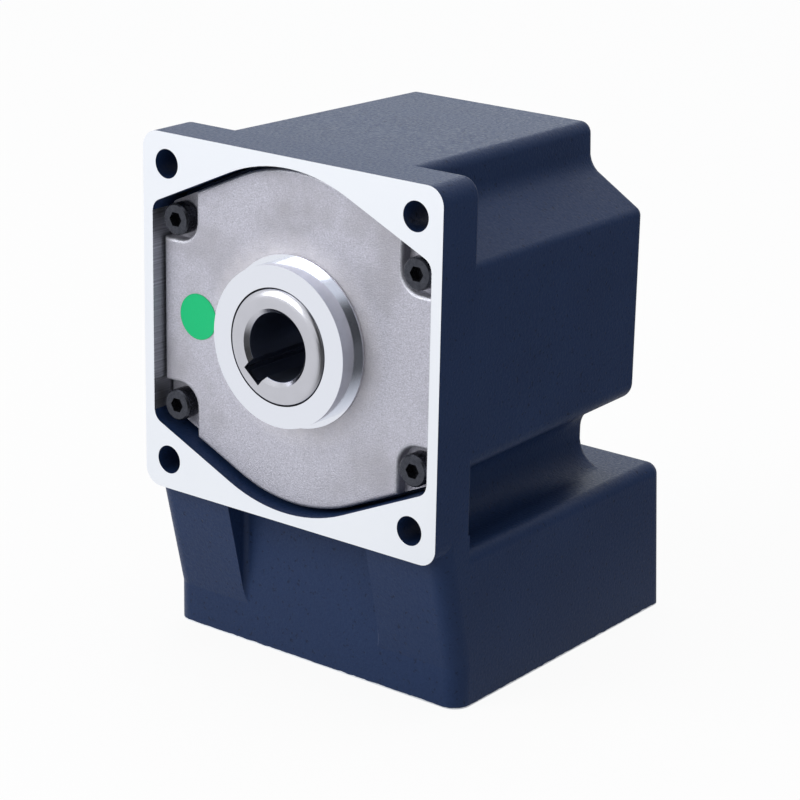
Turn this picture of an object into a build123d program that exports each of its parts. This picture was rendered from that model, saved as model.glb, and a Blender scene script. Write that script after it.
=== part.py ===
from build123d import *
import math
import os

# A right angle gearhead with a hollow output shaft. The shaft lies along Y, with the mounting flange's
# face at y = 0 and the shaft's front towards -Y. The motor face is the underside of the base block.

# Mounting flange, in millimetres like every size here
FRAME = 80.0
FLANGE_THICK = 12.0
CORNER_R = 4.0
FLANGE_HOLE = 6.4
FLANGE_HOLE_INSET = 6.766
FLANGE_BACK_R = 0.8

# Pocket in the flange, where the cover sits
POCKET_DEPTH = 10.0
POCKET_RIM = 2.4
POCKET_SIDE = 2.6
POCKET_SLOPE = 24.5
POCKET_CORNER_R = 3.0

# Gear body behind the flange, outlined in X and Z
BODY_REAR = 74.8
BODY_DRAFT = 0.95
BODY_TOP_INSET = 14.0
BODY_TOP_R = 2.6
SHOULDER_INSET = 13.6
SHOULDER_DROP = 9.4
SHOULDER_R = 5.0
SIDE_DROP = 18.1
SIDE_TOP_R = 2.2
SIDE_RISE = 19.1
SIDE_LOW_R = 4.0
WAIST_INSET = 13.3
WAIST_RISE = 11.3
WAIST_R = 5.6
FOOT_R = 6.4
BODY_REAR_R = 1.8

# Base block that carries the motor
BASE_BOTTOM = -75.5
BASE_FRONT = 9.5
BASE_LENGTH = 80.0
BASE_TOP_LENGTH = 76.9
BASE_REAR_R = 3.0
BASE_EDGE_R = 2.8
GUSSET_TOP_Y = 3.0
GUSSET_FOOT_Z = -66.5
GUSSET_INNER = 19.2
GUSSET_ROOT_R = 1.2

# Motor side, seen from below
MOTOR_HOLE_INSET = 6.766
MOTOR_PILOT_WALL = 3.5
MOTOR_PILOT_DEPTH = 3.5
MOTOR_SCREW_HOLE = 5.0
MOTOR_SCREW_DEPTH = 14.0

# Rooms inside the case
BEVEL_ROOM_WALL = 7.0
BEVEL_ROOM_END = 59.4
GEAR_ROOM_WALL = 11.0
GEAR_ROOM_TOP = -46.0
PLATE_ROOM_WALL = 5.5
PLATE_TOP = -56.5
PLATE_THICK = 7.5

# Cover
COVER_FACE = 3.0
EAR_FACE = 5.7
COVER_ARC_GAP = 1.0
COVER_SIDE_GAP = 0.4
COVER_EDGE_R = 0.9
GASKET_THICK = 0.5
LIP_R = 18.7
LIP_FACE = 2.3
PILOT_RING = 35.0
PILOT_FACE = -2.8
NOSE_GAP = 0.25
SPIGOT_DEPTH = 4.5
SPIGOT_WALL = 3.5
COVER_WALL = 4.0
BEARING_BOSS_WALL = 4.0

# Cover screws and dowels
SCREW = 4.0
SCREW_HEAD = 7.0
SCREW_HEX = 3.0
SCREW_LENGTH = 14.0
SCREW_INSET = 5.0
SCREW_DROP = 3.38
NOTCH_R = 4.7
DOWEL = 2.5
DOWEL_INSET = 2.3
DOWEL_DEPTH = 3.0

# Hollow output shaft
SHAFT = 25.0
SHAFT_BORE = 15.0
SHAFT_FRONT = -3.7
SHAFT_OVERHANG = 1.0
SHAFT_END_ROUND = 2.8
SHAFT_END_DEPTH = 1.2
BORE_CHAMFER = 0.95
KEYWAY_WIDTH = 5.0
KEYWAY_REACH = 9.8
KEYWAY_ANGLE = 229.4
COLLAR = 30.0
COLLAR_WIDTH = 3.5
WHEEL_SEAT = 26.5
SPACER_WALL = 2.5
REAR_CHAMFER = 0.8

# Keys: width, height, depth in the shaft
WHEEL_KEY = (5.0, 4.0, 2.2)
FINAL_KEY = (4.0, 3.0, 1.7)
FIRST_KEY = (2.5, 2.4, 1.3)
KEY_INSET = 1.0

# Output bearings: outside diameter, width, ball, balls
FRONT_BEARING = (42.0, 9.0, 5.0, 9)
REAR_BEARING = (37.0, 7.0, 4.0, 9)
FRONT_BEARING_Y = 8.5
REAR_BEARING_Y = 59.5
BEARING_SHOULDER = 1.0

# Oil seals: outside diameter and width
FRONT_SEAL = (32.0, 6.0)
REAR_SEAL = (35.0, 6.0)
SEAL_SHEET = 0.8
SEAL_SPRING = 1.1

# Bevel pair, with its apex on the output shaft's axis
AXIS_STEP = 6.5
BEVEL_MODULE = 1.75
WHEEL_TEETH = 32
PINION_TEETH = 16
BEVEL_FACE = 10.0
BEVEL_ROOT = 1.2
BEVEL_FOOT = 4.0
BEVEL_HEEL = 4.0
HUB_FRONT = 7.5

# Spur stages: the motor's own pinion drives the first gear
FIRST_MODULE = 0.8
MOTOR_PINION_TEETH = 10
FIRST_TEETH = 36
FIRST_WIDTH = 5.0
FIRST_GAP = 0.8
SECOND_MODULE = 1.0
SECOND_PINION_TEETH = 12
SECOND_TEETH = 30
SECOND_WIDTH = 8.0
SECOND_TOP = -47.0
TOOTH_SHIFT = 0.3
BACKLASH = 0.12
PRESSURE_ANGLE = 20.0

# Pinion shaft and countershaft
PINION_NECK = 15.0
PINION_JOURNAL = 12.0
PINION_END = 10.0
UPPER_BEARING_TOP = -37.0
PINION_ROOM = 9.0
COUNTER_TOP = 6.0
COUNTER_JOURNAL = 8.0
COUNTER_SEAT = 7.0
CLIP_THICK = 1.0

# Shielded bearings: bore, outside diameter, width
PINION_UPPER = (PINION_JOURNAL, 24.0, 6.0)
PINION_LOWER = (PINION_END, 22.0, 6.0)
COUNTER_UPPER = (COUNTER_TOP, 15.0, 5.0)
COUNTER_LOWER = (COUNTER_JOURNAL, 16.0, 5.0)

# Plate screws and dowels
PLATE_SCREW = 3.0
PLATE_SCREW_HEAD = 5.5
PLATE_SCREW_HEX = 2.5
PLATE_SCREW_LENGTH = 12.0
PLATE_SCREW_WALL = 8.5

# Clearances
SEAT_GAP = 0.02
RUN_GAP = 0.05
TAPPED = 0.825

# Sticker
STICKER = 10.2
STICKER_X = -27.1
STICKER_THICK = 0.12

# Places worked out from the sizes above
HALF = FRAME / 2
BODY_TOP_HALF = HALF - BODY_TOP_INSET
SHOULDER_HALF = HALF - SHOULDER_INSET
SHOULDER_Z = HALF - SHOULDER_DROP
SIDE_TOP = HALF - SIDE_DROP
SIDE_LOW = SIDE_RISE - HALF
WAIST_HALF = HALF - WAIST_INSET
WAIST_Z = WAIST_RISE - HALF
FLANGE_HOLE_AT = HALF - FLANGE_HOLE_INSET
MOTOR_HOLE_AT = HALF - MOTOR_HOLE_INSET
MOTOR_PILOT_R = HALF - MOTOR_PILOT_WALL
POCKET_ARC_R = HALF - POCKET_RIM
POCKET_HALF = HALF - POCKET_SIDE
SLOPE = math.radians(POCKET_SLOPE)
POCKET_SIDE_Z = (POCKET_ARC_R - POCKET_HALF * math.sin(SLOPE)) / math.cos(SLOPE)
SCREW_X = POCKET_HALF - SCREW_INSET
SCREW_Z = POCKET_SIDE_Z - SCREW_DROP
DOWEL_X = POCKET_HALF - DOWEL_INSET
BEVEL_ROOM_R = HALF - BEVEL_ROOM_WALL
GEAR_ROOM_R = HALF - GEAR_ROOM_WALL
PLATE_ROOM_R = HALF - PLATE_ROOM_WALL
PLATE_SCREW_R = HALF - PLATE_SCREW_WALL
MOTOR_Y = BASE_FRONT + BASE_LENGTH / 2
PINION_Y = MOTOR_Y - AXIS_STEP
COVER_BACK = POCKET_DEPTH - GASKET_THICK
BEARING_END = FRONT_BEARING_Y + FRONT_BEARING[1]
WHEEL_BACK = BEARING_END + COLLAR_WIDTH
HUB_END = PINION_Y - HUB_FRONT
SHAFT_REAR = BODY_REAR + SHAFT_OVERHANG
FIRST_CENTRES = FIRST_MODULE * (MOTOR_PINION_TEETH + FIRST_TEETH) / 2
SECOND_CENTRES = SECOND_MODULE * (SECOND_PINION_TEETH + SECOND_TEETH) / 2
COUNTER_LEAD = (FIRST_CENTRES**2 + AXIS_STEP**2 - SECOND_CENTRES**2) / (2 * AXIS_STEP)
COUNTER_TURN = math.acos(COUNTER_LEAD / FIRST_CENTRES)
COUNTER_X = -FIRST_CENTRES * math.sin(COUNTER_TURN)
COUNTER_Y = MOTOR_Y - FIRST_CENTRES * math.cos(COUNTER_TURN)
COUNTER_FACING = math.degrees(math.atan2(COUNTER_Y - PINION_Y, COUNTER_X))
COUNTER_LOWER_LOW = PLATE_TOP - COUNTER_LOWER[2]
UPPER_BEARING_LOW = UPPER_BEARING_TOP - PINION_UPPER[2]
PINION_ROOM_TOP = UPPER_BEARING_TOP + PINION_ROOM
SECOND_LOW = SECOND_TOP - SECOND_WIDTH
FIRST_TOP = PLATE_TOP - PLATE_THICK - FIRST_GAP
FIRST_LOW = FIRST_TOP - FIRST_WIDTH
PINION_CLIP_TOP = SECOND_LOW - SEAT_GAP
FIRST_CLIP_TOP = FIRST_LOW - SEAT_GAP
SCREW_TIP = EAR_FACE + SCREW_LENGTH
PLATE_SCREW_SEAT = PLATE_TOP - PLATE_THICK + PLATE_SCREW
PLATE_SCREW_TIP = PLATE_SCREW_SEAT + PLATE_SCREW_LENGTH
FRONT_SEAL_Y = FRONT_BEARING_Y - FRONT_SEAL[1] - SEAL_SHEET / 2
REAR_SEAL_Y = REAR_BEARING_Y + REAR_BEARING[1] + BEARING_SHOULDER


def corners(x, z):
    """The four mirrored places of a rectangular pattern."""
    return [(sx * x, sz * z) for sx in (-1, 1) for sz in (-1, 1)]


def turn_y(*points):
    """Solid of revolution about the output axis, from (radius, y) points."""
    return revolve(make_face(Polyline(*points, close=True)), Axis.Y)


def turn_z(*points):
    """Solid of revolution about Z, from (radius, z) points."""
    return revolve(make_face(Plane.XZ * Polyline(*points, close=True)), Axis.Z)


def ring(outer, inner, low, high, chamfer=0.0):
    """Section of a ring, as (radius, station) points with its outer corners chamfered."""
    if chamfer == 0:
        return [(inner, low), (outer, low), (outer, high), (inner, high)]
    return [
        (inner, low),
        (outer - chamfer, low),
        (outer, low + chamfer),
        (outer, high - chamfer),
        (outer - chamfer, high),
        (inner, high),
    ]


def rod_y(radius, low, high, x=0.0, z=0.0):
    """Round bar along Y."""
    return Pos(x, 0, z) * turn_y((0, low), (radius, low), (radius, high), (0, high))


def rod_z(radius, low, high, x=0.0, y=0.0):
    """Round bar along Z."""
    return Pos(x, y, 0) * turn_z((0, low), (radius, low), (radius, high), (0, high))


def slab_y(face, low, high):
    """A face drawn in X and Z, given thickness along Y."""
    return extrude(Plane.XZ.offset(-high) * face, high - low)


def key_bar(low, high, width, start, end):
    """A key or its slot along Z, from radius low to high on the +X side."""
    bar = Box(high - low, width, end - start, align=(Align.MIN, Align.CENTER, Align.MIN))
    return Pos(low, 0, start) * bar


def shaft_key(key, radius, low, high, gap):
    """A key of (width, height, depth in the shaft), or its slot with a gap all round."""
    width, height, depth = key
    start = radius - depth - gap
    return key_bar(start, radius - depth + height + gap, width + 2 * gap, low - gap, high + gap)


def cap_screw(diameter, head, hexagon, length):
    """Socket head cap screw along Z: head's top at 0, tip down, core diameter below its seat."""
    body = turn_z(*ring(head / 2, 0, -diameter, 0, head * 0.05))
    shank = turn_z(*ring(diameter * TAPPED / 2, 0, -diameter - length, -diameter, diameter * 0.1))
    socket = extrude(RegularPolygon(hexagon / 2, 6, major_radius=False), -diameter * 0.55)
    return body + shank - socket


# Tooth forms

def involute(angle):
    return math.tan(angle) - angle


def half_tooth(radius, pitch_r, thickness):
    """Half the angle that a tooth fills at a radius."""
    base_r = pitch_r * math.cos(math.radians(PRESSURE_ANGLE))
    roll = math.acos(min(1, base_r / radius))
    return thickness / 2 / pitch_r + involute(math.radians(PRESSURE_ANGLE)) - involute(roll)


def polar(radius, angle):
    return (radius * math.cos(angle), radius * math.sin(angle))


def spur_face(teeth, module, shift):
    """Outline of a spur gear with a tooth centred on +X."""
    pitch_r = module * teeth / 2
    tip_r = pitch_r + module * (1 + shift)
    root_r = pitch_r - module * (1.25 - shift)
    thickness = module * (math.pi / 2 + 2 * shift * math.tan(math.radians(PRESSURE_ANGLE))) - BACKLASH
    flank = [(r, half_tooth(r, pitch_r, thickness)) for r in (root_r, pitch_r, tip_r)]
    edges = []
    for tooth in range(teeth):
        centre = math.tau * tooth / teeth
        after = centre + math.tau / teeth
        near = [polar(r, centre - a) for r, a in flank]
        far = [polar(r, centre + a) for r, a in reversed(flank)]
        next_root = polar(root_r, after - flank[0][1])
        edges.append(ThreePointArc(*near))
        edges.append(ThreePointArc(near[2], polar(tip_r, centre), far[0]))
        edges.append(ThreePointArc(*far))
        edges.append(ThreePointArc(far[2], polar(root_r, centre + math.pi / teeth), next_root))
    return make_face(edges)


def spur_gear(teeth, module, shift, low, width, facing):
    """Toothed disc along Z, with a tooth centred on the angle it faces."""
    return Pos(0, 0, low) * Rot(0, 0, facing) * extrude(spur_face(teeth, module, shift), width)


class BevelForm:
    """Sizes of one straight bevel gear, with its apex at the origin and its teeth towards +Z."""

    def __init__(self, teeth, mate):
        self.teeth = teeth
        self.radius = BEVEL_MODULE * teeth / 2
        self.cone = math.atan(teeth / mate)
        self.height = self.radius / math.tan(self.cone)
        self.inner = 1 - BEVEL_FACE * math.sin(self.cone) / self.radius
        self.back_r = self.radius / math.cos(self.cone)

    def corner(self, rise, scale=1.0):
        """(radius, station) of a point that stands off the pitch cone by rise."""
        radius = self.radius + rise * math.cos(self.cone)
        return (radius * scale, (self.height - rise * math.sin(self.cone)) * scale)

    def gap_section(self, scale):
        """Section of the gap between two teeth, square to the pitch cone, shrunk towards the apex."""
        tip = self.back_r + BEVEL_MODULE
        root = self.back_r - BEVEL_ROOT * BEVEL_MODULE
        thickness = BEVEL_MODULE * math.pi / 2 - BACKLASH
        half_pitch = math.pi * math.cos(self.cone) / self.teeth
        flank = [(r, half_pitch - half_tooth(r, self.back_r, thickness)) for r in (root, self.back_r, tip)]
        above = (tip + BEVEL_MODULE / 2, flank[2][1])

        def place(radius, angle):
            rise = radius * math.cos(angle) - self.back_r
            across, along = self.corner(rise, scale)
            return Vector(across, radius * math.sin(angle) * scale, along)

        near = [place(r, -a) for r, a in flank]
        far = [place(r, a) for r, a in reversed(flank)]
        above_near = place(above[0], -above[1])
        above_far = place(*above)
        return make_face([
            ThreePointArc(*near),
            Line(near[2], above_near),
            Line(above_near, above_far),
            Line(above_far, far[0]),
            ThreePointArc(*far),
            Line(far[2], near[0]),
        ])

    def gaps(self, facing):
        """The gaps as solids to cut, with a tooth left on the angle it faces."""
        gap = loft([self.gap_section(self.inner * 0.985), self.gap_section(1.05)], ruled=True)
        step = 360 / self.teeth
        return [Rot(0, 0, facing + step * (i + 0.5)) * gap for i in range(self.teeth)]

    def rim(self, foot, heel):
        """Corners from the inner end's foot over the tooth tips to the heel, as (radius, station) points."""
        return [
            self.corner(-foot, self.inner),
            self.corner(BEVEL_MODULE, self.inner),
            self.corner(BEVEL_MODULE),
            self.corner(-heel),
        ]


WHEEL = BevelForm(WHEEL_TEETH, PINION_TEETH)
PINION = BevelForm(PINION_TEETH, WHEEL_TEETH)


# Case and cover

def pocket_face(side_gap=0.0, arc_gap=0.0):
    """Outline of the flange's pocket in X and Z: upright sides and round ends joined by slopes."""
    arc_r = POCKET_ARC_R - arc_gap
    half = POCKET_HALF - side_gap
    side_z = (arc_r - half * math.sin(SLOPE)) / math.cos(SLOPE)
    apex = arc_r / math.cos(SLOPE)
    corner = POCKET_CORNER_R - side_gap
    outline = FilletPolyline(
        (half, -side_z),
        (half, side_z),
        (0, apex),
        (-half, side_z),
        (-half, -side_z),
        (0, -apex),
        radius=[corner, corner, arc_r, corner, corner, arc_r],
        close=True,
    )
    return make_face(outline)


def body_face(draft):
    """Outline of the gear body in X and Z, drawn in by the casting's draft."""
    side = [
        (BODY_TOP_HALF - draft, HALF - draft, BODY_TOP_R),
        (SHOULDER_HALF - draft, SHOULDER_Z - draft, SHOULDER_R),
        (HALF - draft, SIDE_TOP - draft / 2, SIDE_TOP_R),
        (HALF - draft, SIDE_LOW + draft / 2, SIDE_LOW_R),
        (WAIST_HALF - draft, WAIST_Z + draft / 2, WAIST_R),
        (WAIST_HALF - draft, -HALF, FOOT_R),
        (WAIST_HALF + FOOT_R + 1, -HALF, 0),
        (WAIST_HALF + FOOT_R + 1, -HALF - FOOT_R, 0),
    ]
    mirrored = [(-x, z, r) for x, z, r in reversed(side)]
    loop = side + mirrored
    outline = FilletPolyline(*[(x, z) for x, z, _ in loop], radius=[r for _, _, r in loop], close=True)
    return make_face(outline)


def body_solid():
    """Gear body behind the flange, with its shoulders, its waist and its foot on the base block."""
    near = Plane.XZ.offset(-FLANGE_THICK) * body_face(0)
    far = Plane.XZ.offset(-BODY_REAR) * body_face(BODY_DRAFT)
    body = loft([near, far], ruled=True)
    rear = body.faces().sort_by(Axis.Y)[-1]
    upper = [e for e in rear.edges() if e.center().Z > -HALF - FOOT_R / 4]
    body = fillet(upper, BODY_REAR_R)
    return body + slab_y(body_face(0), BASE_FRONT, FLANGE_THICK)


def tall_edges(block):
    """The upright edges on the block's two sides."""
    return [e for e in block.edges() if abs(e.center().X) > HALF - 0.01 and abs((e @ 1 - e @ 0).Z) > CORNER_R]


def base_solid():
    """Base block with a sloping front that leaves a gusset on each side under the flange."""
    rear_low = BASE_FRONT + BASE_LENGTH
    rear_top = BASE_FRONT + BASE_TOP_LENGTH
    riser = -HALF + CORNER_R
    lean = (BASE_FRONT - GUSSET_TOP_Y) / (-HALF - GUSSET_FOOT_Z)
    outline = Polyline(
        (BASE_FRONT, BASE_BOTTOM),
        (rear_low, BASE_BOTTOM),
        (rear_top, -HALF),
        (FLANGE_THICK, -HALF),
        (FLANGE_THICK, riser),
        (GUSSET_TOP_Y - lean * CORNER_R, riser),
        (BASE_FRONT, GUSSET_FOOT_Z),
        close=True,
    )
    block = extrude(Plane.YZ.offset(-HALF) * make_face(outline), FRAME)
    block = fillet([e for e in tall_edges(block) if e.center().Y < MOTOR_Y], CORNER_R)
    block = fillet([e for e in tall_edges(block) if e.center().Y > MOTOR_Y + GEAR_ROOM_R], BASE_REAR_R)
    top = block.faces().filter_by(Plane.XY).sort_by(Axis.Z)[-2]
    rim = [e for e in top.edges() if e.center().Y > FLANGE_THICK + 0.01]
    block = fillet(rim, BASE_EDGE_R)
    gap = Box(
        2 * GUSSET_INNER,
        BASE_FRONT,
        -HALF - GUSSET_FOOT_Z,
        align=(Align.CENTER, Align.MIN, Align.MIN),
    )
    gap = Pos(0, 0, GUSSET_FOOT_Z) * gap
    roots = [e for e in gap.edges().filter_by(Axis.Z) if e.center().Y > 1]
    return block - fillet(roots, GUSSET_ROOT_R)


def case_rooms():
    """Everything that is bored or cored out of the case."""
    return [
        slab_y(pocket_face(), 0, POCKET_DEPTH),
        rod_y(BEVEL_ROOM_R, 0, BEVEL_ROOM_END),
        rod_y(REAR_BEARING[0] / 2 + SEAT_GAP, 0, REAR_BEARING_Y + REAR_BEARING[1]),
        rod_y(SHAFT / 2 + 3 * BEARING_SHOULDER, 0, BODY_REAR),
        rod_y(REAR_SEAL[0] / 2 + SEAT_GAP, REAR_SEAL_Y, BODY_REAR + 1),
        rod_z(MOTOR_PILOT_R, BASE_BOTTOM, BASE_BOTTOM + MOTOR_PILOT_DEPTH, y=MOTOR_Y),
        rod_z(PLATE_ROOM_R, BASE_BOTTOM, PLATE_TOP, y=MOTOR_Y),
        rod_z(GEAR_ROOM_R, BASE_BOTTOM, GEAR_ROOM_TOP, y=MOTOR_Y),
        rod_z(PINION_UPPER[1] / 2 + SEAT_GAP, UPPER_BEARING_LOW, PINION_ROOM_TOP, y=PINION_Y),
        rod_z(PINION_UPPER[1] / 2 - 2, GEAR_ROOM_TOP, UPPER_BEARING_LOW, y=PINION_Y),
        Pos(COUNTER_X, COUNTER_Y, GEAR_ROOM_TOP)
        * rod_z(COUNTER_UPPER[1] / 2 + SEAT_GAP, 0, COUNTER_UPPER[2]),
    ]


def case_holes():
    """Drilled and tapped holes of the case."""
    flange_hole = rod_y(FLANGE_HOLE / 2, 0, FLANGE_THICK)
    holes = [Pos(x, 0, z) * flange_hole for x, z in corners(FLANGE_HOLE_AT, FLANGE_HOLE_AT)]
    for x, z in corners(SCREW_X, SCREW_Z):
        holes.append(rod_y(SCREW * TAPPED / 2 + SEAT_GAP, 0, SCREW_TIP + 1, x, z))
    for x in (-DOWEL_X, DOWEL_X):
        holes.append(rod_y(DOWEL / 2 + SEAT_GAP, 0, POCKET_DEPTH + 2 * DOWEL_DEPTH, x))
    motor_hole = rod_z(MOTOR_SCREW_HOLE / 2, BASE_BOTTOM, BASE_BOTTOM + MOTOR_SCREW_DEPTH)
    holes += [Pos(x, MOTOR_Y + y, 0) * motor_hole for x, y in corners(MOTOR_HOLE_AT, MOTOR_HOLE_AT)]
    for x, y in plate_places():
        holes.append(rod_z(PLATE_SCREW * TAPPED / 2 + SEAT_GAP, PLATE_TOP, PLATE_SCREW_TIP + 1, x, y))
    for x in (-PLATE_SCREW_R, PLATE_SCREW_R):
        holes.append(rod_z(DOWEL / 2 + SEAT_GAP, PLATE_TOP, PLATE_TOP + 2 * DOWEL_DEPTH, x, MOTOR_Y))
    return holes


def plate_places():
    """Centres of the plate's screws, round the motor axis."""
    reach = PLATE_SCREW_R / math.sqrt(2)
    return [(x, MOTOR_Y + y) for x, y in corners(reach, reach)]


def gear_case():
    flange = Box(FRAME, FLANGE_THICK, FRAME, align=(Align.CENTER, Align.MIN, Align.CENTER))
    flange = fillet(flange.edges().filter_by(Axis.Y), CORNER_R)
    flange = fillet(flange.faces().sort_by(Axis.Y)[-1].edges(), FLANGE_BACK_R)
    return flange + body_solid() + base_solid() - case_rooms() - case_holes()


def notch_face(sx, sz):
    """Corner notch of the cover, concentric with its screw."""
    near_x = SCREW_X - NOTCH_R
    near_z = SCREW_Z - NOTCH_R
    points = [(near_x, near_z), (HALF, near_z), (HALF, HALF), (near_x, HALF)]
    outline = FilletPolyline(*[(sx * x, sz * z) for x, z in points], radius=[NOTCH_R, 0, 0, 0], close=True)
    return make_face(outline)


def front_cover():
    sheet = pocket_face(COVER_SIDE_GAP, COVER_ARC_GAP)
    ears = slab_y(sheet, EAR_FACE, COVER_BACK)
    raised = sheet - [notch_face(sx, sz) for sx, sz in corners(1, 1)]
    dome = slab_y(raised, COVER_FACE, EAR_FACE)
    front = dome.faces().sort_by(Axis.Y)[0]
    dome = fillet(front.edges(), COVER_EDGE_R)
    cover = dome + ears
    cover += rod_y(LIP_R, LIP_FACE, COVER_BACK)
    cover += rod_y(PILOT_RING / 2, PILOT_FACE, COVER_BACK)
    cover += rod_y(BEVEL_ROOM_R - RUN_GAP, COVER_FACE + COVER_WALL, COVER_BACK + SPIGOT_DEPTH)
    hollow_r = BEVEL_ROOM_R - SPIGOT_WALL
    cover -= turn_y(*ring(hollow_r, FRONT_BEARING[0] / 2, COVER_FACE + COVER_WALL, COVER_BACK + SPIGOT_DEPTH))
    boss_r = FRONT_BEARING[0] / 2 + BEARING_BOSS_WALL
    cover += rod_y(boss_r, COVER_FACE + COVER_WALL, BEARING_END)
    cover -= rod_y(SHAFT / 2 + NOSE_GAP, PILOT_FACE, BEARING_END)
    cover -= rod_y(FRONT_SEAL[0] / 2 + SEAT_GAP, FRONT_SEAL_Y, BEARING_END)
    cover -= rod_y(FRONT_BEARING[0] / 2 + SEAT_GAP, FRONT_BEARING_Y, BEARING_END)
    cover -= [rod_y(SCREW / 2 + NOSE_GAP, 0, COVER_BACK, x, z) for x, z in corners(SCREW_X, SCREW_Z)]
    dowel_hole = rod_y(DOWEL / 2 + SEAT_GAP, COVER_BACK - DOWEL_DEPTH, COVER_BACK)
    return cover - [Pos(x, 0, 0) * dowel_hole for x in (-DOWEL_X, DOWEL_X)]


def cover_gasket():
    gasket = slab_y(pocket_face(2 * COVER_SIDE_GAP, 2 * COVER_ARC_GAP), COVER_BACK, POCKET_DEPTH)
    gasket -= rod_y(BEVEL_ROOM_R + RUN_GAP, COVER_BACK, POCKET_DEPTH)
    screw_hole = rod_y(SCREW / 2 + NOSE_GAP, COVER_BACK, POCKET_DEPTH)
    gasket -= [Pos(x, 0, z) * screw_hole for x, z in corners(SCREW_X, SCREW_Z)]
    dowel_hole = rod_y(DOWEL / 2 + RUN_GAP, COVER_BACK, POCKET_DEPTH)
    return gasket - [Pos(x, 0, 0) * dowel_hole for x in (-DOWEL_X, DOWEL_X)]


def cover_screws():
    screw = Rot(90, 0, 0) * cap_screw(SCREW, SCREW_HEAD, SCREW_HEX, SCREW_LENGTH)
    return [Pos(x, EAR_FACE - SCREW, z) * screw for x, z in corners(SCREW_X, SCREW_Z)]


def cover_dowels():
    low = COVER_BACK - DOWEL_DEPTH + RUN_GAP
    high = POCKET_DEPTH + 2 * DOWEL_DEPTH - RUN_GAP
    pin = turn_y(*ring(DOWEL / 2, 0, low, high, DOWEL * 0.1))
    return [Pos(x, 0, 0) * pin for x in (-DOWEL_X, DOWEL_X)]


def check_sticker():
    return rod_y(STICKER / 2, COVER_FACE - STICKER_THICK, COVER_FACE, STICKER_X)


# Bearings and seals, along Z from 0 to their width

def ball_bearing(bore, outside, width, ball, count):
    """Outer race, inner race, cage and balls of a deep groove ball bearing."""
    pitch_r = (bore + outside) / 4
    step = ball * 0.28
    chamfer = ball * 0.1
    groove = Pos(0, 0, width / 2) * Torus(pitch_r, ball / 2 + RUN_GAP)
    outer = turn_z(*ring(outside / 2, pitch_r + step, 0, width, chamfer)) - groove
    inner = turn_z(*ring(pitch_r - step, bore / 2, 0, width)) - groove
    ball_solid = Pos(pitch_r, 0, width / 2) * Sphere(ball / 2)
    pocket = Pos(pitch_r, 0, width / 2) * Rot(0, 90, 0) * Cylinder(ball / 2 + RUN_GAP, ball)
    turns = [Rot(0, 0, 360 * i / count) for i in range(count)]
    side = (width - ball * 1.3) / 2
    cage = turn_z(*ring(pitch_r + step / 2, pitch_r - step / 2, side, width - side))
    cage -= [turn * pocket for turn in turns]
    return outer, inner, cage, [turn * ball_solid for turn in turns]


def shielded_bearing(bore, outside, width):
    """Outer race, inner race and the two shields that close it."""
    wall = (outside - bore) / 2
    inner_r = bore / 2 + 0.3 * wall
    outer_r = outside / 2 - 0.28 * wall
    shield = 0.06 * width
    sink = 0.05 * width
    outer = turn_z(*ring(outside / 2, outer_r, 0, width, 0.3))
    inner = turn_z(*ring(inner_r, bore / 2, 0, width))
    low = ring(outer_r, inner_r + 2 * RUN_GAP, sink, sink + shield)
    high = ring(outer_r, inner_r + 2 * RUN_GAP, width - sink - shield, width - sink)
    return outer, inner, [turn_z(*low), turn_z(*high)]


def oil_seal(outside, width):
    """Metal case, rubber lip and spring of a shaft seal, with its oil side towards +Z."""
    outer_r = outside / 2
    shaft_r = SHAFT / 2
    inner_r = outer_r - SEAL_SHEET
    case = turn_z(
        (outer_r, 0),
        (outer_r, width),
        (inner_r, width),
        (inner_r, SEAL_SHEET),
        (shaft_r + 1, SEAL_SHEET),
        (shaft_r + 1, 0),
    )
    lip_back = shaft_r + 0.55 * (inner_r - shaft_r)
    lip = turn_z(
        (inner_r, SEAL_SHEET),
        (inner_r, 2 * SEAL_SHEET),
        (lip_back, 2.6 * SEAL_SHEET),
        (lip_back, 0.92 * width),
        (shaft_r + 0.5, 0.92 * width),
        (shaft_r + RUN_GAP, 0.7 * width),
        (shaft_r + 0.7, 0.45 * width),
        (shaft_r + 0.4, SEAL_SHEET),
    )
    spring_r = lip_back + SEAL_SPRING / 4
    spring = Pos(0, 0, 0.7 * width) * Torus(spring_r, SEAL_SPRING / 2)
    return case, lip - spring, spring


def onto_y(solids, y, reverse=False):
    """Puts solids made along Z onto the output axis, starting at y."""
    place = Pos(0, y, 0) * Rot(90 if reverse else -90, 0, 0)
    return [[place * s for s in solid] if isinstance(solid, list) else place * solid for solid in solids]


def onto_z(solids, x, y, low):
    """Puts solids made along Z onto an upright shaft, starting at height low."""
    place = Pos(x, y, low)
    return [[place * s for s in solid] if isinstance(solid, list) else place * solid for solid in solids]


# Output shaft group

def on_shaft(solid):
    """Turns a bar made along Z on the +X side onto the output axis, opposite the bore's keyway."""
    return Rot(0, 180 - KEYWAY_ANGLE, 0) * Rot(-90, 0, 0) * solid


def wheel_key_bar(gap):
    """The wheel's key, or its slot with a gap all round."""
    bar = shaft_key(WHEEL_KEY, WHEEL_SEAT / 2, WHEEL_BACK + KEY_INSET, HUB_END - 2 * KEY_INSET, gap)
    return on_shaft(bar)


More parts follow.
